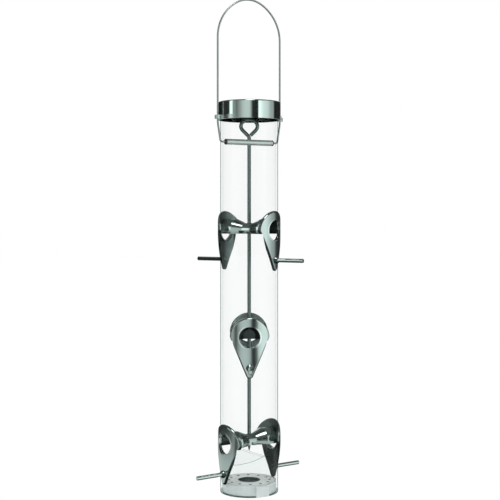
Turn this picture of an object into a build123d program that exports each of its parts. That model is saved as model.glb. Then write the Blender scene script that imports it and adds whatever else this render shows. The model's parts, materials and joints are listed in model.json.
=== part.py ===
from build123d import *

import os
from math import acos, asin, cos, degrees, radians, sin, tan

# Hanging tube feeder for birds. Millimetres, +Z up. The origin is the hang point, where a hook touches
# the underside of the bail. +X runs along the crossbar, towards the rear end of the bail.
# Heights are measured up from the tube's foot, and level() turns them into z.
# Angles run anticlockwise seen from above, from +X.

# ---- tube ----
tube_radius = 31.75
tube_wall = 2.0
tube_bore = tube_radius - tube_wall
tube_top = 423.5

# ---- bail: one bent wire ----
wire_radius = 1.0
leg_reach = 38.6  # wire centre to the axis, along X
arch_foot = 496.7  # height where the legs begin to curve over
shoulder_radius = 45.0
apex_radius = 30.4
crossbar_height = 383.2
pin_inner_end = 24.0  # the wire's ends, inside the crossbar
elbow_reach = 35.2  # below the cap the legs lean in to here
leg_straight_from = 404.0
elbow_radius = 2.6
lean_radius = 30.0

# The two shoulder arcs and the apex arc share tangents where they meet.
arc_offset = shoulder_radius - apex_radius
meet_angle = acos((shoulder_radius - leg_reach) / arc_offset)
apex_height = arch_foot + arc_offset * sin(meet_angle) + apex_radius
hang_height = apex_height - wire_radius

# ---- crossbar and its end bushes ----
crossbar_radius = 3.175
crossbar_bore = 2.43
crossbar_half = 28.2
bush_flange = 1.2
bush_spigot = 5.0
pin_gap = 0.05  # running gap of the wire's ends
bush_gap = 0.03

# ---- cap ----
cap_foot = 407.7
cap_height = 19.8
cap_radius = 34.7
cap_wall = 0.9
cap_hem = 1.5
cap_hem_height = 1.6
cap_edge = 1.5
strap_thickness = 0.8
strap_height = 4.2
strap_half_angle = 38.0
strap_reach = 42.0
strap_slot = 3.4  # width of the gap that the wire runs in
strap_gap = 0.05

# ---- pull rod ----
rod_radius = 2.0
rod_gap = 0.05
rod_tip = 44.5
rod_cone_top = 51.0
rod_tip_radius = 0.4
ring_bend_from = 387.7
ring_bend_radius = 4.0
ring_side_radius = 6.25
ring_top_radius = 13.0
ring_top_turn = 50.0  # degrees that the flatter top arc turns through
ring_slope = 45.0  # lean of the two straight sides
ring_end_gap = 0.15
ring_facing = 243.0  # angle that the ring's flat side looks at

# ---- ports ----
port_heights = {"lower": 55.0, "middle": 172.0, "upper": 286.6}
front_angles = {"lower": 187.0, "middle": 243.0, "upper": 300.0}
tongue_sides = {"lower": "rear", "middle": "front", "upper": "front"}  # the other port has the lug
plate_back = 31.85
plate_front = 34.5
plate_half_width = 21.3
plate_tip_radius = 4.0
plate_tip_drop = 40.0
plate_corner = 3.0
plate_edge = 2.0
plate_band = 60.0  # half height of the ring that the plate is cut from
plate_overlap = 0.5  # how far the neck goes into the plate
mouth_radius = 11.4
mouth_lip = 1.5
neck_radius = 12.6
neck_gap = 0.15  # round the neck, in the tube's hole
neck_end = 16.5
taper_end = 5.0
nose_radius = 8.0
nose_end = 0.2
cavity_end = 10.4
cavity_end_radius = 6.5
hood_floor = -3.8  # the hood is open below this, counted from the mouth's centre
collar_from = 29.2
tongue_thickness = 3.3
tongue_reach = 7.7
tongue_width = 12.0
lug_reach = 3.7
lap_gap = 0.3

# ---- perches ----
perch_drop = 32.3
perch_radius = 2.25
perch_tip = 68.2
perch_inner = 32.0
perch_chamfer = 0.45
perch_gap = 0.05
boss_radius = 4.0
boss_top = 37.6
boss_edge = 2.6

# ---- base ----
floor_top = 12.3
floor_thickness = 2.5
skirt_outer = 29.55
skirt_wall = 2.2
socket_bore = 11.5
socket_wall = 1.0
socket_foot = 1.0
socket_flange = 2.6
drain_circle = 22.5
drain_radius = 1.65
drain_count = 12
tab_width = 16.0
tab_height = 11.8
tab_gap = 0.3
tab_setback = 0.1  # behind the tube's outer face
first_drain = 5.0  # angle of the first drain hole
socket_gap = 0.05
ridge_height = 43.8
roof_slope = 20.0
diverter_radius = 29.45
diverter_wall = 1.6
diverter_foot = floor_top + 0.1
diverter_edge = 0.7


def level(height):
    """z of a height above the tube's foot."""
    return height - hang_height


def spoke(angle, height, radius=0.0):
    """Plane square to a radius: x along the tangent, y up, z outward."""
    a = radians(angle)
    origin = (radius * cos(a), radius * sin(a), level(height))
    return Plane(origin=origin, x_dir=(-sin(a), cos(a), 0), z_dir=(cos(a), sin(a), 0))


def radial_section(angle, height=0.0):
    """Plane through the axis: x outward, y up from a height above the foot."""
    a = radians(angle)
    return Plane(origin=(0, 0, level(height)), x_dir=(cos(a), sin(a), 0), z_dir=(sin(a), -cos(a), 0))


def spoke_axis(angle, height):
    a = radians(angle)
    return Axis((0, 0, level(height)), (cos(a), sin(a), 0))


def save(piece, name):
    piece.part.label = name
    export_step(piece.part, f"parts/{name}.step")


def port_places():
    """Name, angle, height and kind of nose of each port, from the bottom pair up."""
    for row, height in port_heights.items():
        for side, turn in (("front", 0.0), ("rear", 180.0)):
            yield f"{row}_port_{side}", front_angles[row] - turn, height, tongue_sides[row] == side


# ---------------------------------------------------------------- feed tube
def make_feed_tube():
    with BuildPart() as tube:
        with BuildSketch(Plane.XY.offset(level(0))):
            Circle(tube_radius)
            Circle(tube_bore, mode=Mode.SUBTRACT)
        extrude(amount=tube_top)
        for _, angle, height, _ in port_places():
            with BuildSketch(spoke(angle, height, tube_bore / 2)):
                Circle(neck_radius + neck_gap)
            extrude(amount=tube_radius, mode=Mode.SUBTRACT)
        for angle in (0, 180):
            with BuildSketch(spoke(angle, crossbar_height, tube_bore / 2)):
                Circle(wire_radius + 2 * pin_gap)
            extrude(amount=tube_radius, mode=Mode.SUBTRACT)
        for angle in (90, 270):
            with BuildSketch(spoke(angle, 0, tube_bore / 2)):
                Rectangle(tab_width, 2 * tab_height)
            extrude(amount=tube_radius, mode=Mode.SUBTRACT)
    return tube


# ---------------------------------------------------------------- cap and its guides
def make_cap():
    foot, top = level(cap_foot), level(cap_foot + cap_height)
    hem_inner, inner = cap_radius - cap_hem, cap_radius - cap_wall
    with BuildPart() as cap:
        with BuildSketch(Plane.XZ) as section:
            with BuildLine():
                FilletPolyline((0, top), (cap_radius, top), (cap_radius, foot), radius=cap_edge)
                Polyline((cap_radius, foot), (hem_inner, foot), (hem_inner, foot + cap_hem_height),
                         (inner, foot + cap_hem_height))
                FilletPolyline((inner, foot + cap_hem_height), (inner, top - cap_wall), (0, top - cap_wall),
                               radius=cap_edge - cap_wall)
                Line((0, top - cap_wall), (0, top))
            make_face()
        revolve(axis=Axis.Z)
    return cap


def make_cap_guide(angle):
    back = cap_radius + strap_gap
    slot_start = back - strap_slot
    with BuildPart() as guide:
        with BuildSketch(Plane.XY.offset(level(cap_foot))):
            Circle(back + strap_thickness)
            with BuildSketch(mode=Mode.INTERSECT):
                with BuildLine():
                    rim = CenterArc((0, 0), 2 * cap_radius, angle - strap_half_angle, 2 * strap_half_angle)
                    Line(rim @ 1, (0, 0))
                    Line((0, 0), rim @ 0)
                make_face()
            # the loop that the wire runs in starts inside the rim, where the last cut trims it
            with Locations(Location((0, 0), angle)):
                with Locations(((slot_start + strap_reach) / 2, 0)):
                    SlotOverall(strap_reach - slot_start, strap_slot + 2 * strap_thickness)
                    SlotOverall(strap_reach - slot_start - 2 * strap_thickness, strap_slot,
                                mode=Mode.SUBTRACT)
            Circle(back, mode=Mode.SUBTRACT)
        extrude(amount=strap_height)
    return guide


# ---------------------------------------------------------------- bail and crossbar
def make_bail():
    with BuildPart() as bail:
        with BuildLine(Plane.XZ) as path:
            arch_z = level(arch_foot)
            centre_x = leg_reach - shoulder_radius
            meet = degrees(meet_angle)
            leg = FilletPolyline(
                (pin_inner_end, level(crossbar_height)),
                (elbow_reach, level(crossbar_height)),
                (leg_reach, level(leg_straight_from)),
                (leg_reach, arch_z),
                radius=(elbow_radius, lean_radius),
            )
            shoulder = CenterArc((centre_x, arch_z), shoulder_radius, 0, meet)
            apex_z = level(apex_height) - apex_radius
            CenterArc((0, apex_z), apex_radius, meet, 180 - 2 * meet)
            mirror(leg, about=Plane.YZ)
            mirror(shoulder, about=Plane.YZ)
        with BuildSketch(Plane.YZ.offset(pin_inner_end)):
            with Locations((0, level(crossbar_height))):
                Circle(wire_radius)
        sweep(path=path.wires()[0])
    return bail


def make_crossbar():
    with BuildPart() as crossbar:
        with BuildSketch(spoke(0, crossbar_height, -crossbar_half)):
            Circle(crossbar_radius)
            Circle(crossbar_bore, mode=Mode.SUBTRACT)
        extrude(amount=2 * crossbar_half)
        with BuildSketch(Plane.XY.offset(level(crossbar_height) - 2 * crossbar_radius)):
            Circle(rod_radius + rod_gap)
        extrude(amount=4 * crossbar_radius, mode=Mode.SUBTRACT)
    return crossbar


def make_crossbar_bushes():
    with BuildPart() as bushes:
        for angle in (0, 180):
            with BuildSketch(spoke(angle, crossbar_height, crossbar_half)):
                Circle(crossbar_radius)
                Circle(wire_radius + pin_gap, mode=Mode.SUBTRACT)
            extrude(amount=bush_flange)
            with BuildSketch(spoke(angle, crossbar_height, crossbar_half)):
                Circle(crossbar_bore - bush_gap)
                Circle(wire_radius + pin_gap, mode=Mode.SUBTRACT)
            extrude(amount=-bush_spigot)
    return bushes


# ---------------------------------------------------------------- pull rod
def make_pull_rod():
    # The ring is a teardrop: two straight sides that lean out, a tight arc on each side, a flatter top.
    slope = radians(ring_slope)
    half_turn = radians(ring_top_turn / 2)
    side_turn = 180 - ring_slope - ring_top_turn / 2
    side_centre = (ring_top_radius - ring_side_radius) * sin(half_turn)
    side_top = side_centre + ring_side_radius * cos(slope)
    bend_end = ring_bend_radius * (1 - cos(slope))
    with BuildPart() as rod:
        with BuildLine(radial_section(ring_facing + 90)) as path:
            shank = Line((0, rod_cone_top), (0, ring_bend_from))
            bend = JernArc(shank @ 1, shank % 1, ring_bend_radius, ring_slope)
            side = Line(bend @ 1, bend @ 1 + (bend % 1) * (side_top - bend_end) / sin(slope))
            first = JernArc(side @ 1, side % 1, ring_side_radius, -side_turn)
            crown = JernArc(first @ 1, first % 1, ring_top_radius, -ring_top_turn)
            last = JernArc(crown @ 1, crown % 1, ring_side_radius, -side_turn)
            free_run = side_top / sin(slope) - rod_radius - ring_end_gap
            Line(last @ 1, last @ 1 + (last % 1) * free_run)
        with BuildSketch(Plane.XY.offset(level(rod_cone_top))):
            Circle(rod_radius)
        sweep(path=path.wires()[0])
        with BuildSketch(Plane.XY.offset(level(rod_cone_top))):
            Circle(rod_radius)
        with BuildSketch(Plane.XY.offset(level(rod_tip))):
            Circle(rod_tip_radius)
        loft()
    return rod


# ---------------------------------------------------------------- ports
def make_hood(angle, height, inner_end):
    """Neck, taper and nose as one solid of revolution about the port's own axis."""
    with BuildPart() as hood:
        with BuildSketch(radial_section(angle, height)):
            Polygon((inner_end, 0), (inner_end, nose_radius), (taper_end, nose_radius),
                    (neck_end, neck_radius), (plate_front, neck_radius), (plate_front, 0), align=None)
        revolve(axis=spoke_axis(angle, height))
        with BuildSketch(Plane.XY.offset(level(height) - 2 * neck_radius)):
            Circle(plate_back + plate_overlap)
        extrude(amount=4 * neck_radius, mode=Mode.INTERSECT)
    return hood


def make_plate(angle, height):
    """Teardrop plate, bent to the tube, with a rounded rim outside and around its mouth."""
    reach = (plate_half_width**2 + plate_tip_drop**2) ** 0.5
    side_angle = degrees(acos(plate_tip_drop / reach)) - degrees(asin(plate_tip_radius / reach))
    with BuildPart() as plate:
        with BuildSketch(spoke(angle, height, tube_radius / 2)) as outline:
            with BuildLine():
                top = CenterArc((0, 0), plate_half_width, 0, 180)
                tip = CenterArc((0, -plate_tip_drop), plate_tip_radius, -side_angle,
                                2 * side_angle - 180)
                Line(top @ 0, tip @ 0)
                Line(top @ 1, tip @ 1)
            make_face()
            corners = outline.vertices().group_by(Axis.Y)[-1]
            fillet(corners, plate_corner)
        extrude(amount=tube_radius)
        with BuildSketch(Plane.XY.offset(level(height) - plate_band)):
            Circle(plate_front)
            Circle(plate_back, mode=Mode.SUBTRACT)
        extrude(amount=2 * plate_band, mode=Mode.INTERSECT)
        with BuildSketch(spoke(angle, height, tube_radius / 2)):
            Circle(mouth_radius)
        extrude(amount=tube_radius, mode=Mode.SUBTRACT)
        face = plate.faces().filter_by(GeomType.CYLINDER).sort_by(SortBy.AREA)[-1]
        fillet(face.inner_wires()[0].edges(), mouth_lip)
        face = plate.faces().filter_by(GeomType.CYLINDER).sort_by(SortBy.AREA)[-1]
        fillet(face.outer_wire().edges(), plate_edge)
    return plate


def make_port(angle, height, has_tongue):
    plate = make_plate(angle, height)
    hood = make_hood(angle, height, nose_end if has_tongue else -lug_reach)
    tongue_top = hood_floor + tongue_thickness
    with BuildPart() as port:
        add(plate.part)
        add(hood.part)
        # hollow of the mouth and hood
        with BuildSketch(radial_section(angle, height)):
            Polygon((cavity_end, 0), (cavity_end, cavity_end_radius), (neck_end - 1, mouth_radius),
                    (perch_tip, mouth_radius), (perch_tip, 0), align=None)
        revolve(axis=spoke_axis(angle, height), mode=Mode.SUBTRACT)
        # the hood's underside is open
        with BuildSketch(spoke(angle, height)):
            with Locations((0, hood_floor)):
                Rectangle(4 * neck_radius, 2 * neck_radius, align=(Align.CENTER, Align.MAX))
        extrude(amount=collar_from, mode=Mode.SUBTRACT)
        if has_tongue:
            # room for the other port's lug, then the tongue under it
            with BuildSketch(spoke(angle, height)):
                with Locations((0, tongue_top)):
                    Rectangle(4 * nose_radius, 2 * nose_radius, align=(Align.CENTER, Align.MIN))
            extrude(amount=lug_reach + lap_gap, mode=Mode.SUBTRACT)
            with BuildSketch(Plane.XY.offset(level(height + hood_floor))):
                with Locations(Location((0, 0), angle)):
                    with Locations(((taper_end - tongue_reach) / 2, 0)):
                        SlotOverall(taper_end + tongue_reach, tongue_width)
            extrude(amount=tongue_thickness)
        else:
            # the nose runs past the rod as a lug, over the other port's tongue
            with BuildSketch(spoke(angle, height, -2 * lug_reach)):
                with Locations((0, tongue_top + lap_gap)):
                    Rectangle(4 * nose_radius, 2 * nose_radius, align=(Align.CENTER, Align.MAX))
            extrude(amount=tongue_reach + lap_gap + 2 * lug_reach, mode=Mode.SUBTRACT)
        with BuildSketch(Plane.XY.offset(level(height) - neck_radius)):
            Circle(rod_radius + rod_gap)
        extrude(amount=2 * neck_radius, mode=Mode.SUBTRACT)
        # perch boss and its hole
        with BuildSketch(spoke(angle, height - perch_drop, plate_back + plate_overlap)):
            Circle(boss_radius)
        extrude(amount=boss_top - plate_back - plate_overlap)
        fillet(port.faces().sort_by(spoke_axis(angle, height))[-1].edges(), boss_edge)
        with BuildSketch(spoke(angle, height - perch_drop, tube_bore)):
            Circle(perch_radius + perch_gap)
        extrude(amount=perch_tip - tube_bore, mode=Mode.SUBTRACT)
    return port


def make_perch(angle, height):
    with BuildPart() as perch:
        with BuildSketch(spoke(angle, height - perch_drop, perch_inner)):
            Circle(perch_radius)
        extrude(amount=perch_tip - perch_inner)
        chamfer(perch.edges().filter_by(GeomType.CIRCLE), perch_chamfer)
    return perch


# ---------------------------------------------------------------- base
def make_base_cup():
    with BuildPart() as cup:
        with BuildSketch(Plane.XY.offset(level(0))):
            Circle(skirt_outer)
        extrude(amount=floor_top)
        with BuildSketch(Plane.XY.offset(level(0))):
            Circle(skirt_outer - skirt_wall)
        extrude(amount=floor_top - floor_thickness, mode=Mode.SUBTRACT)
        # tabs that fill the notches in the tube's foot
        for angle in (90, 270):
            with BuildSketch(spoke(angle, 0, skirt_outer - skirt_wall / 2)):
                Rectangle(tab_width - 2 * tab_gap, tab_height - tab_gap, align=(Align.CENTER, Align.MIN))
            extrude(amount=tube_radius - skirt_outer + skirt_wall / 2 - tab_setback)
        with BuildSketch(Plane.XY.offset(level(0))):
            Circle(socket_bore + socket_wall + socket_gap)
            with PolarLocations(drain_circle, drain_count, start_angle=first_drain):
                Circle(drain_radius)
        extrude(amount=floor_top, mode=Mode.SUBTRACT)
    return cup


def make_pole_socket():
    with BuildPart() as socket:
        with BuildSketch(Plane.XY.offset(level(socket_foot))):
            Circle(socket_bore + socket_wall)
        extrude(amount=floor_top - socket_foot)
        with BuildSketch(Plane.XY.offset(level(floor_top - floor_thickness))):
            Circle(socket_bore + socket_wall + socket_flange)
        extrude(amount=-socket_wall)
        with BuildSketch(Plane.XY.offset(level(0))):
            Circle(socket_bore)
        extrude(amount=2 * floor_top, mode=Mode.SUBTRACT)
    return socket


def gable(radius, ridge, foot):
    """Round block with a roof that falls from its ridge towards the two lowest ports."""
    eaves = ridge - radius * tan(radians(roof_slope))
    with BuildPart() as block:
        with BuildSketch(radial_section(front_angles["lower"])):
            Polygon((-radius, foot), (-radius, eaves), (0, ridge), (radius, eaves), (radius, foot),
                    align=None)
        extrude(amount=radius, both=True)
        with BuildSketch(Plane.XY.offset(level(foot))):
            Circle(radius)
        extrude(amount=ridge - foot, mode=Mode.INTERSECT)
    return block


def make_seed_diverter():
    shell = gable(diverter_radius, ridge_height, diverter_foot)
    roof_drop = diverter_wall / cos(radians(roof_slope))
    inside = gable(diverter_radius - diverter_wall, ridge_height - roof_drop, diverter_foot)
    with BuildPart() as diverter:
        add(shell.part)
        add(inside.part, mode=Mode.SUBTRACT)
        roof_rim = diverter.edges().filter_by(GeomType.ELLIPSE).group_by(SortBy.LENGTH)[-1]
        fillet(roof_rim, diverter_edge)
    return diverter


os.makedirs("parts", exist_ok=True)

save(make_feed_tube(), "feed_tube")
save(make_cap(), "cap")
save(make_cap_guide(180), "cap_guide_front")
save(make_cap_guide(0), "cap_guide_rear")
save(make_bail(), "bail")
save(make_crossbar(), "crossbar")
save(make_crossbar_bushes(), "crossbar_bushes")
save(make_pull_rod(), "pull_rod")
for name, angle, height, has_tongue in port_places():
    save(make_port(angle, height, has_tongue), name)
    save(make_perch(angle, height), name.replace("port", "perch"))
save(make_base_cup(), "base_cup")
save(make_pole_socket(), "pole_socket")
save(make_seed_diverter(), "seed_diverter")
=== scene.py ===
import json
import math

import bpy
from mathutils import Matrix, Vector


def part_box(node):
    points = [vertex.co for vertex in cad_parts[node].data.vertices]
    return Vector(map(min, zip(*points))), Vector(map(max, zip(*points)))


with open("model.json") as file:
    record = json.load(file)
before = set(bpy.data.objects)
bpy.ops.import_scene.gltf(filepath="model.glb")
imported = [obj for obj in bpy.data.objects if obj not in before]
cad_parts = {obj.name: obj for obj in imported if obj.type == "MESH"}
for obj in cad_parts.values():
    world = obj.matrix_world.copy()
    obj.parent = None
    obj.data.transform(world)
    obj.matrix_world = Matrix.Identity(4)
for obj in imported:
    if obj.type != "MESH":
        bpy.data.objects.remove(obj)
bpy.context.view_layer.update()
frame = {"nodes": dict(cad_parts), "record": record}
nodes = frame["nodes"]

MM = 0.001
foot_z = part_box("feed_tube")[0].z


# ---------------------------------------------------------------- camera
VIEW_ANGLE = math.radians(242)  # where the camera stands, anticlockwise from +X
EYE_HEIGHT = 0.3023             # above the tube's foot
DISTANCE = 1.2106
LENS = 79.2
FRAME_DROP = 0.068              # the level camera's frame reaches this share of its width further down
SIDE_STEP = 0.0009              # the axis stands this far left of the picture's middle

toward_camera = Vector((math.cos(VIEW_ANGLE), math.sin(VIEW_ANGLE), 0))
picture_right = Vector((-math.sin(VIEW_ANGLE), math.cos(VIEW_ANGLE), 0))


def make_camera():
    data = bpy.data.cameras.new("camera")
    data.sensor_width = 36
    data.lens = LENS
    data.shift_y = -FRAME_DROP
    data.clip_start = 0.05
    data.clip_end = 50
    camera = bpy.data.objects.new("camera", data)
    bpy.context.scene.collection.objects.link(camera)
    camera.location = toward_camera * DISTANCE + picture_right * SIDE_STEP
    camera.location.z = foot_z + EYE_HEIGHT
    camera.rotation_euler = (-toward_camera).to_track_quat("-Z", "Y").to_euler()
    bpy.context.scene.camera = camera


make_camera()


# ---------------------------------------------------------------- node helpers
class Tree:
    """Adds nodes to a material or world and joins them with short calls."""

    def __init__(self, owner):
        owner.use_nodes = True
        self.tree = owner.node_tree
        self.tree.nodes.clear()

    def add(self, kind, **settings):
        node = self.tree.nodes.new(kind)
        inputs = settings.pop("inputs", {})
        for name, value in settings.items():
            setattr(node, name, value)
        for name, value in inputs.items():
            self.put(node.inputs[name], value)
        return node

    def put(self, socket, value):
        """Sets a socket, or joins it when value is another node's output."""
        if isinstance(value, bpy.types.NodeSocket):
            self.tree.links.new(value, socket)
        else:
            socket.default_value = value

    def math(self, operation, *values):
        node = self.add("ShaderNodeMath", operation=operation)
        for socket, value in zip(node.inputs, values):
            self.put(socket, value)
        return node.outputs[0]

    def times(self, first, *others):
        product = first
        for factor in others:
            product = self.math("MULTIPLY", product, factor)
        return product

    def vector(self, operation, *values):
        node = self.add("ShaderNodeVectorMath", operation=operation, inputs=dict(enumerate(values)))
        return node.outputs["Value" if operation in ("DOT_PRODUCT", "LENGTH") else "Vector"]

    def part(self, vector, index):
        """The x, y or z of a vector, by its index."""
        return self.add("ShaderNodeSeparateXYZ", inputs={0: vector}).outputs[index]

    def surface(self):
        """Position and normal in the piece's own frame, and the distance from the feeder's axis."""
        texture = self.add("ShaderNodeTexCoord").outputs
        radius = self.vector("LENGTH", self.vector("MULTIPLY", texture["Object"], (1, 1, 0)))
        return texture["Object"], texture["Normal"], radius

    def noise(self, scale, detail, stretch=(1, 1, 1)):
        place = self.add("ShaderNodeTexCoord").outputs["Object"]
        mapping = self.add("ShaderNodeMapping", inputs={"Vector": place, "Scale": stretch})
        texture = self.add("ShaderNodeTexNoise", inputs={
            "Vector": mapping.outputs[0], "Scale": scale, "Detail": detail})
        return texture.outputs["Fac"]

    def fade(self, value, start, end):
        """0 before start, 1 after end, and even between them; end may be the lower of the two."""
        node = self.add("ShaderNodeMapRange", inputs={"Value": value, "From Min": start, "From Max": end})
        return node.outputs[0]

    def ramp(self, factor, stops):
        """Colours at places from 0 to 1, at most 32 of them, in order."""
        node = self.add("ShaderNodeValToRGB", inputs={0: factor})
        elements = node.color_ramp.elements
        while len(elements) < len(stops):
            elements.new(0.5)
        for element, (place, colour) in zip(elements, stops):
            element.position = place
            element.color = (*colour, 1)
        return node.outputs[0]

    def mix(self, factor, a, b):
        """Colour a where factor is 0 and b where it is 1."""
        node = self.add("ShaderNodeMix", data_type="RGBA")
        self.put(node.inputs[0], factor)
        self.put(node.inputs[6], a)
        self.put(node.inputs[7], b)
        return node.outputs[2]

    def bump(self, height, strength, distance):
        return self.add("ShaderNodeBump", inputs={
            "Height": height, "Strength": strength, "Distance": distance}).outputs[0]

    def metal(self, base, rough, normal, metallic=1.0):
        return self.add("ShaderNodeBsdfPrincipled", inputs={
            "Base Color": base, "Metallic": metallic, "Roughness": rough, "Normal": normal})

    def clear(self, colour):
        return self.add("ShaderNodeBsdfTransparent", inputs={"Color": colour})

    def blend(self, factor, shader_a, shader_b):
        node = self.add("ShaderNodeMixShader", inputs={0: factor})
        self.tree.links.new(shader_a.outputs[0], node.inputs[1])
        self.tree.links.new(shader_b.outputs[0], node.inputs[2])
        return node

    def finish(self, shader, kind="ShaderNodeOutputMaterial"):
        out = self.add(kind)
        self.tree.links.new(shader.outputs[0], out.inputs["Surface"])


def new_material(name):
    material = bpy.data.materials.new(name)
    return material, Tree(material)


# ---------------------------------------------------------------- light
def tinted(level, green=0.06):
    """The studio's slightly green grey of a given level."""
    return (level * (1 - green), level * (1 + green), level * (1 + green / 2))


# What stands round the object, seen only in reflections: angle in degrees from the picture's right
# towards the camera, and level. Between two angles the level blends.
# Nearly all the levels of HIGH_CARDS and LOW_CARDS, and some of TABLE, were worked out from
# tones read in the photo, on the cap's side and on the port plates.
HIGH_CARDS = [(0, 0.44), (7, 0.5), (17, 0.76), (38, 1.0), (51, 1.38), (55, 1.38), (57.5, 0.03), (60, 0.012),
              (65, 0.022), (78, 0.03), (81, 0.24), (85, 0.5), (89, 0.73), (102, 0.73), (112, 0.66),
              (122, 0.42), (137, 0.18), (143, 0.32), (151, 0.3), (154.5, 1.38), (163.5, 1.38), (168, 0.03),
              (194, 0.03), (202, 0.12), (211, 0.01), (240, 0.01), (255, 0.9), (297, 0.02),
              (335, 0.02), (340, 0.01), (346, 0.04), (352, 0.43)]
LOW_CARDS = [(0, 0.6), (7, 0.7), (17, 0.92), (26, 1.1), (42, 1.1), (55, 0.85), (59, 0.45), (63, 0.2),
             (70, 0.06), (77, 0.055), (81, 0.2), (85, 0.45), (91, 0.6), (102, 0.7), (117, 0.66), (124, 0.52),
             (131, 0.32), (135, 0.16), (142, 0.14), (147, 0.36), (152, 0.48), (164, 0.4), (169, 0.04),
             (240, 0.02), (255, 0.8), (298, 0.03), (325, 0.04), (334, 0.09), (340, 0.22), (346, 0.42),
             (356, 0.52)]
DEEP_CARDS = LOW_CARDS[:20] + [(152, 0.2), (158, 0.06)] + LOW_CARDS[22:]
TABLE = [(0, 0.62), (122, 0.62), (131, 0.3), (136, 0.08), (145, 0.08), (150, 0.45), (155, 0.66),
         (235, 0.68), (262, 0.4), (290, 0.3), (330, 0.45)]
NEAR_TABLE = [(0, 0.62), (122, 0.5), (136, 0.08), (225, 0.06), (245, 0.5), (285, 0.5), (300, 0.05),
              (310, 0.1), (335, 0.4)]
CEILING = 0.1       # one level all the way round
UNDER = 0.05        # straight below, where the object's own foot is

# From the horizon up and then down: the rise (the ray's z) where each begins and where it is complete.
# The low cards are what is seen before any of them.
LAYERS = [(0.0, 0.05, HIGH_CARDS), (0.42, 0.55, CEILING), (-0.13, -0.17, DEEP_CARDS),
          (-0.2, -0.214, TABLE), (-0.25, -0.3, NEAR_TABLE), (-0.6, -0.68, UNDER)]

SOFTBOX = 5.0                    # the lamp over the camera's shoulder, a round patch of the ceiling
LAMP_ANGLE = math.radians(85)    # from the picture's right, as the cards
LAMP_RISE = math.radians(64)
LAMP_OUTSIDE, LAMP_INSIDE = 0.968, 0.98  # cosines of the angles where its soft edge ends and begins


def make_world():
    """A white studio with tall dark and bright cards round the object, seen only in reflections."""
    world = bpy.data.worlds.new("studio")
    bpy.context.scene.world = world
    t = Tree(world)
    ray = t.add("ShaderNodeTexCoord").outputs["Generated"]
    rise = t.part(ray, 2)
    right_bearing = VIEW_ANGLE + math.pi / 2
    turned = t.math("SUBTRACT", right_bearing, t.math("ARCTAN2", t.part(ray, 1), t.part(ray, 0)))
    share = t.math("FRACT", t.math("DIVIDE", turned, 2 * math.pi))

    def ring(cards):
        if isinstance(cards, float):
            return (*tinted(cards), 1)
        return t.ramp(share, [(degrees / 360, tinted(level)) for degrees, level in cards])

    reflected = ring(LOW_CARDS)
    for start, end, cards in LAYERS:
        reflected = t.mix(t.fade(rise, start, end), reflected, ring(cards))
    to_lamp = right_bearing - LAMP_ANGLE
    lamp = (math.cos(to_lamp) * math.cos(LAMP_RISE), math.sin(to_lamp) * math.cos(LAMP_RISE),
            math.sin(LAMP_RISE))
    in_lamp = t.fade(t.vector("DOT_PRODUCT", ray, lamp), LAMP_OUTSIDE, LAMP_INSIDE)
    reflected = t.mix(in_lamp, reflected, (*tinted(SOFTBOX, 0.01), 1))
    glossy = t.add("ShaderNodeLightPath").outputs["Is Glossy Ray"]
    seen = t.mix(glossy, (1, 1, 1, 1), reflected)
    t.finish(t.add("ShaderNodeBackground", inputs={"Color": seen, "Strength": 1.0}),
             "ShaderNodeOutputWorld")
    bpy.context.scene.view_settings.view_transform = "Standard"


make_world()


# ---------------------------------------------------------------- materials
BRIGHT = (0.66, 0.72, 0.70)
POLISHED = (0.70, 0.77, 0.75)
# painted shade for the ports' hollows and rounded edges
PAINTED_SHADE_METAL = (0.1, 0.12, 0.118, 1)
ALONG_Z = (1, 1, 0.03)
ALONG_X = (0.03, 1, 1)
ANY_WAY = (1, 1, 1)

# distances from the feeder's axis that tell a surface's place
HOLLOW_REACH = 31.2 * MM         # a port's hollow lies within this
PLATE_BACK = 31.5 * MM           # a port's plate lies outside this
PLATE_FACE = 32.2 * MM           # its face and edges lie outside this
TUBE_MIDDLE = 30.7 * MM          # between the tube's inner and outer surface
DIVERTER_RIM = 28.7 * MM
DRAINS_FROM, DRAINS_TO = 20.7 * MM, 24.3 * MM

LIP_INSIDE, LIP_OUTSIDE = 12.8 * MM, 13.1 * MM  # where a mouth's lip ends, from the port's own axis
EDGE_FROM = 13.4 * MM
PORT_RISE = 21.3 * MM            # from a port's own axis to the top of its plate
CUT_FOOT, CLEAR_FROM = 0.9 * MM, 1.5 * MM  # the tube's cut foot is dark up to these heights


def worn(t, colour):
    """The colour with cloudy darker patches, and the cloud itself."""
    cloud = t.noise(35, 5)
    darker = tuple(c * 0.88 for c in colour)
    return t.mix(cloud, (*darker, 1), (*colour, 1)), cloud


def uneven(t, roughness, lines, cloud):
    return t.math("MULTIPLY_ADD", t.math("ADD", lines, cloud), roughness * 0.35, roughness * 0.65)


def steel(name, colour, roughness, grain, metallic=1.0):
    """Bright metal with drawn or brushed grain. grain stretches the noise: small along the grain."""
    material, t = new_material(name)
    lines = t.noise(900, 4, grain)
    base, cloud = worn(t, colour)
    t.finish(t.metal(base, uneven(t, roughness, lines, cloud), t.bump(lines, 0.35, 0.02 * MM), metallic))
    return material


def spun_cap(name):
    """Polished steel with a duller top, which has the fine rings of a spun sheet."""
    material, t = new_material(name)
    _, normal, radius = t.surface()
    top = t.fade(t.part(normal, 2), 0.8, 0.95)
    lines = t.noise(900, 4, ALONG_Z)
    turned = t.add("ShaderNodeCombineXYZ", inputs={0: radius}).outputs[0]
    rings = t.add("ShaderNodeTexNoise", inputs={
        "Vector": turned, "Scale": 1600, "Detail": 3.0}).outputs["Fac"]
    grain = t.math("MULTIPLY_ADD", top, t.math("SUBTRACT", rings, lines), lines)
    base, cloud = worn(t, POLISHED)
    rough = t.math("MULTIPLY_ADD", top, 0.42, uneven(t, 0.08, grain, cloud))
    t.finish(t.metal(base, rough, t.bump(grain, 0.35, 0.02 * MM)))
    return material


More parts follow.
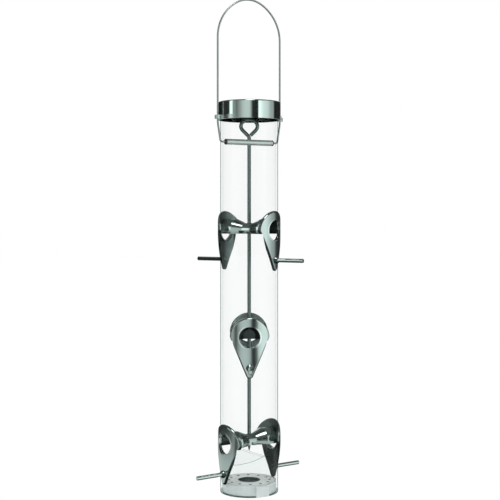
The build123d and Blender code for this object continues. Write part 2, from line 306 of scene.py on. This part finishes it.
def port_metal(name, angle, height):
    """A polished casting, with painted shade in its hollow, on its back and on its rounded edge, and a
    painted highlight on its lip. angle and height say where the port's own axis lies.
    """
    material, t = new_material(name)
    place, normal, radius = t.surface()
    outward = (math.cos(angle), math.sin(angle), 0)
    facing_out = t.vector("DOT_PRODUCT", normal, outward)
    from_axis = t.vector("SUBTRACT", place, (0, 0, height))
    aside = t.vector("SUBTRACT", from_axis, t.vector("PROJECT", from_axis, outward))
    off_axis = t.vector("LENGTH", aside)

    # painted shade: the hollow is painted dark and made dull, and so is the plate's back, whose painted
    # shade is mottled
    inward = t.fade(t.vector("DOT_PRODUCT", t.vector("NORMALIZE", aside), normal), 0.1, -0.2)
    end_wall = t.fade(facing_out, 0.3, 0.6)
    hollow_painted_shade = t.times(t.math("MAXIMUM", inward, end_wall), t.math("LESS_THAN", radius, HOLLOW_REACH))
    back_painted_shade = t.times(t.fade(facing_out, -0.3, -0.6), t.math("GREATER_THAN", radius, PLATE_BACK))

    # painted highlight: the lip round the mouth is painted bright; painted shade: the plate's rounded edge
    # is painted dark where it doesn't face up
    outside = t.math("GREATER_THAN", radius, PLATE_FACE)
    lip_painted_highlight = t.times(t.fade(off_axis, LIP_OUTSIDE, LIP_INSIDE), outside, t.fade(facing_out, 0.995, 0.97))
    radial = t.vector("NORMALIZE", t.vector("MULTIPLY", place, (1, 1, 0)))
    rounded = t.fade(t.vector("DOT_PRODUCT", normal, radial), 0.985, 0.9)
    not_top = t.fade(t.part(normal, 2), 0.45, 0.25)
    edge_painted_shade = t.times(rounded, t.fade(off_axis, LIP_OUTSIDE, EDGE_FROM), outside, not_top)

    cloud = t.noise(60, 5)
    base = t.mix(cloud, (0.52, 0.58, 0.565, 1), (0.63, 0.69, 0.675, 1))
    mottled_back_painted_shade = t.mix(t.noise(140, 4), (0.16, 0.19, 0.185, 1), (0.4, 0.45, 0.44, 1))
    # painted shade on the back, the hollow and the edge, then the painted highlight on the lip
    for factor, colour in ((back_painted_shade, mottled_back_painted_shade), (hollow_painted_shade, PAINTED_SHADE_METAL), (edge_painted_shade, PAINTED_SHADE_METAL),
                           (lip_painted_highlight, (0.93, 0.98, 0.97, 1))):
        base = t.mix(factor, base, colour)
    rough = t.math("MULTIPLY_ADD", cloud, 0.08, 0.05)
    rough = t.math("MULTIPLY_ADD", t.math("MAXIMUM", hollow_painted_shade, back_painted_shade), 0.33, rough)
    rough = t.math("MULTIPLY_ADD", t.math("MAXIMUM", edge_painted_shade, lip_painted_highlight), 0.18, rough)
    t.finish(t.metal(base, rough, t.bump(t.noise(900, 4, ALONG_Z), 0.3, 0.01 * MM)))
    return material


def gloss_over(t, through, sharp=0.03, share=0.1, least=0.012):
    """Lays a faint gloss over a see-through shader, stronger at grazing angles."""
    facing = t.add("ShaderNodeLayerWeight", inputs={"Blend": 0.5}).outputs["Facing"]
    streaks = t.noise(220, 3, (1, 1, 0.02))
    gloss = t.add("ShaderNodeBsdfGlossy", inputs={
        "Color": (0.9, 0.95, 0.94, 1), "Roughness": sharp, "Normal": t.bump(streaks, 0.2, 0.04 * MM)})
    factor = t.math("MULTIPLY_ADD", t.math("POWER", facing, 4.0), share, least)
    return t.blend(factor, through, gloss)


def clear_tube(name):
    """Thin clear wall: dark just at its outline and at its cut foot, clear elsewhere."""
    material, t = new_material(name)
    facing = t.add("ShaderNodeLayerWeight", inputs={"Blend": 0.5}).outputs["Facing"]
    place, _, radius = t.surface()
    clear, wall, outline = (0.989, 0.993, 0.992), (0.96, 0.975, 0.97), (0.3, 0.36, 0.35)
    outer = t.ramp(facing, [(0.0, clear), (0.55, clear), (0.78, wall), (0.86, outline), (1.0, outline)])
    inner = t.ramp(facing, [(0.0, clear), (0.6, clear), (0.9, wall), (1.0, wall)])
    through = t.mix(t.math("GREATER_THAN", radius, TUBE_MIDDLE), inner, outer)
    at_foot = t.fade(t.part(place, 2), foot_z + CLEAR_FROM, foot_z + CUT_FOOT)
    through = t.mix(at_foot, through, (0.36, 0.42, 0.41, 1))
    t.finish(gloss_over(t, t.clear(through)))
    return material


def clear_mould(name, ridge_angle):
    """The diverter's clear plastic, painted grey along its ridge and rounded rim: painted shade for the
    darker look of those edges.
    """
    material, t = new_material(name)
    place, normal, radius = t.surface()
    tilt = t.part(normal, 2)
    across_ridge = (math.sin(ridge_angle), -math.cos(ridge_angle), 0)
    off_ridge = t.math("ABSOLUTE", t.vector("DOT_PRODUCT", place, across_ridge))
    ridge_painted_shade = t.times(t.fade(off_ridge, 0.55 * MM, 0.35 * MM), t.fade(tilt, 0.4, 0.6))
    rounded = t.times(t.fade(tilt, 0.12, 0.2), t.fade(tilt, 0.9, 0.82))
    rim_painted_shade = t.times(rounded, t.math("GREATER_THAN", radius, DIVERTER_RIM))
    clear = t.mix(t.noise(120, 3), (0.975, 0.985, 0.982, 1), (0.99, 0.995, 0.993, 1))
    # painted shade along the ridge and the rounded rim
    through = t.mix(t.math("MAXIMUM", ridge_painted_shade, rim_painted_shade), clear, (0.42, 0.49, 0.48, 1))
    t.finish(gloss_over(t, t.clear(through), 0.05, 0.06))
    return material


def hazy_mould(name):
    """The base's milky plastic; the drain holes are painted dark inside, painted shade, and its level faces
    are painted lighter, painted light.
    """
    material, t = new_material(name)
    _, normal, radius = t.surface()
    tilt = t.math("ABSOLUTE", t.part(normal, 2))
    drain_painted_shade = t.times(t.math("GREATER_THAN", radius, DRAINS_FROM), t.math("LESS_THAN", radius, DRAINS_TO),
                    t.fade(tilt, 0.6, 0.3))
    level_part_painted_light = t.fade(tilt, 0.5, 0.8)
    streaks = t.noise(90, 4, (1, 1, 0.25))
    milky = t.mix(streaks, (0.6, 0.68, 0.665, 1), (0.76, 0.83, 0.815, 1))
    # painted light: the level faces are lighter
    milky = t.mix(level_part_painted_light, milky, (0.97, 0.99, 0.985, 1))
    # painted shade: the drain holes' bores are dark and opaque
    body = t.add("ShaderNodeBsdfPrincipled", inputs={
        "Base Color": t.mix(drain_painted_shade, milky, (0.03, 0.04, 0.04, 1)), "Roughness": 0.35,
        "Specular IOR Level": 0.4, "Normal": t.bump(streaks, 0.3, 0.1 * MM)})
    density = t.math("MULTIPLY_ADD", streaks, 0.2, t.math("MULTIPLY_ADD", level_part_painted_light, 0.12, 0.7))
    haze = t.math("MAXIMUM", density, drain_painted_shade)
    t.finish(t.blend(haze, t.clear((0.95, 0.97, 0.965, 1)), body))
    return material


def dark_plastic(name):
    material, t = new_material(name)
    grain = t.noise(1500, 2)
    base = t.mix(grain, (0.015, 0.018, 0.018, 1), (0.035, 0.04, 0.04, 1))
    t.finish(t.add("ShaderNodeBsdfPrincipled", inputs={
        "Base Color": base, "Roughness": t.math("MULTIPLY_ADD", grain, 0.2, 0.35),
        "Normal": t.bump(grain, 0.3, 0.03 * MM)}))
    return material


def port_axis(node_name):
    """Angle and height of a port's own axis, from the boxes of its parallel perch and its plate."""
    perch_low, perch_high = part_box(node_name.replace("port", "perch"))
    middle = (perch_low + perch_high) / 2
    return math.atan2(middle.y, middle.x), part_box(node_name)[1].z - PORT_RISE


# the diverter's ridge lies square to the lowest ports' axis
ridge_angle = port_axis("lower_port_rear")[0] + math.pi / 2

materials = {
    "clear_tube": clear_tube("clear_tube"),
    "clear_base": clear_mould("clear_base", ridge_angle),
    "hazy_base": hazy_mould("hazy_base"),
    "cap_steel": spun_cap("cap_steel"),
    "strap_steel": steel("strap_steel", BRIGHT, 0.25, ANY_WAY),
    "wire_steel": steel("wire_steel", (0.5, 0.55, 0.54), 0.3, ALONG_Z),
    "bar_aluminium": steel("bar_aluminium", (0.74, 0.8, 0.78), 0.35, ALONG_X, metallic=0.7),
    "bush_plastic": dark_plastic("bush_plastic"),
    "rod_steel": steel("rod_steel", (0.24, 0.29, 0.28), 0.25, ALONG_Z),
    "perch_steel": steel("perch_steel", (0.78, 0.84, 0.82), 0.12, ANY_WAY),
    "socket_steel": steel("socket_steel", (0.25, 0.29, 0.29), 0.2, ALONG_Z),
}

slot_of = {part["node"]: part["material_slot"] for part in frame["record"]["subparts"]}
for node_name, node in nodes.items():
    slot = slot_of[node_name]
    material = port_metal(node_name, *port_axis(node_name)) if slot == "port_metal" else materials[slot]
    node.data.materials.clear()
    node.data.materials.append(material)


# ---------------------------------------------------------------- studio pieces
def make_floor():
    bpy.ops.mesh.primitive_plane_add(size=30, location=(0, 0, foot_z - 0.35))
    floor = bpy.context.object
    floor.name = "floor"
    material, t = new_material("floor")
    base = t.mix(t.noise(3, 3), (0.95, 0.96, 0.96, 1), (0.98, 0.98, 0.98, 1))
    t.finish(t.add("ShaderNodeBsdfPrincipled", inputs={
        "Base Color": base, "Roughness": 0.9, "Specular IOR Level": 0.0,
        "Emission Color": (1, 1, 1, 1), "Emission Strength": 0.04}))
    floor.data.materials.append(material)
    floor.visible_glossy = False


def make_flag():
    """A small black screen beside the upper rear perch, which only reflections see."""
    perch_low, perch_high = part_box("upper_perch_rear")
    half_width, half_height = 34 * MM, 45 * MM
    along = Vector((perch_low.x + perch_high.x, perch_low.y + perch_high.y, 0)).normalized()
    beside = Vector((-along.y, along.x, 0))
    middle = (perch_low + perch_high) / 2 + beside * 25 * MM + along * 16 * MM
    corners = [middle + along * (half_width * a) + Vector((0, 0, half_height * b))
               for a, b in ((-1, -1), (1, -1), (1, 1), (-1, 1))]
    mesh = bpy.data.meshes.new("flag")
    mesh.from_pydata(corners, [], [(0, 1, 2, 3)])
    flag = bpy.data.objects.new("flag", mesh)
    bpy.context.scene.collection.objects.link(flag)
    material, t = new_material("flag")
    cloth = t.mix(t.noise(400, 2), (0.01, 0.012, 0.012, 1), (0.03, 0.034, 0.033, 1))
    t.finish(t.add("ShaderNodeBsdfDiffuse", inputs={"Color": cloth}))
    flag.data.materials.append(material)
    flag.visible_camera = False
    flag.visible_diffuse = False
    flag.visible_shadow = False
    flag.visible_transmission = False


make_floor()
make_flag()
